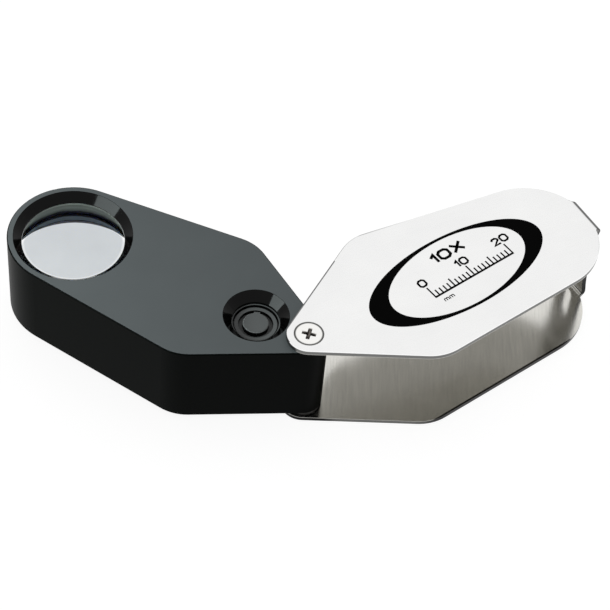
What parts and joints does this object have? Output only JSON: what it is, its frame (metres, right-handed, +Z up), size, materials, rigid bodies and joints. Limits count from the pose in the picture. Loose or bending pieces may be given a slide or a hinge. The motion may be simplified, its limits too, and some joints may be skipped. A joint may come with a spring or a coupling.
{
  "type": "folding hand lens",
  "caption": "Folding pocket hand lens: a lit triplet in a black housing that swings out of a slotted steel strip cover, with a push button for its lamp.",
  "frame": {"origin": "on the pivot axis at the cover's underside, the face that the closed lens rests on", "axes": "+X from the pivot to the strap at the cover's far end, +Z up along the pivot and the lens axis"},
  "size_m": [0.1065, 0.074, 0.0216],
  "materials": {
    "cover_steel": "polished stainless steel",
    "pivot_steel": "plated steel, polished",
    "washer_plastic": "black nylon",
    "housing_black": "satin black",
    "front_glass": "polished optical glass",
    "centre_glass": "polished optical glass",
    "rear_glass": "polished optical glass",
    "cell_black": "black anodised",
    "ring_black": "black anodised",
    "switch_black": "moulded",
    "bezel_black": "satin moulded",
    "button_black": "satin moulded",
    "contact_steel": "spring steel",
    "contact_brass": "rolled brass",
    "battery_nickel": "nickel-plated can",
    "cap_black": "satin black",
    "lamp_clear": "clear epoxy",
    "lead_steel": "tinned steel"
  },
  "bodies": {
    "cover": {"folding_cover": "cover_steel", "pivot_screw": "pivot_steel", "pivot_post": "pivot_steel", "lower_washer": "washer_plastic", "upper_washer": "washer_plastic"},
    "housing": {"lens_housing": "housing_black", "front_lens": "front_glass", "centre_lens": "centre_glass", "rear_lens": "rear_glass", "lens_cell": "cell_black", "lens_retainer": "ring_black", "cell_lock_ring": "ring_black", "switch_base": "switch_black", "switch_dome": "contact_steel", "switch_bezel": "bezel_black", "battery_contact": "contact_brass", "button_cell_lower": "battery_nickel", "button_cell_middle": "battery_nickel", "button_cell_upper": "battery_nickel", "battery_cap": "cap_black", "battery_spring": "contact_steel", "lamp": "lamp_clear", "lamp_leads": "lead_steel", "feed_strip": "contact_brass", "return_strip": "contact_brass"},
    "button": {"light_button": "button_black"}
  },
  "joints": [
    {"name": "cover_pivot", "type": "hinge", "parent": "cover", "child": "housing", "pos_m": [0, 0, 0.0108], "axis": [0, 0, 1], "range_deg": [-121.5, 238.5]},
    {"name": "light_button_press", "type": "slide", "parent": "housing", "child": "button", "axis": [0, 0, -1], "range_m": [0, 0.0005], "stiffness_N_per_m": 400, "springref_m": -0.0005, "deforming": ["switch_dome"]}
  ]
}
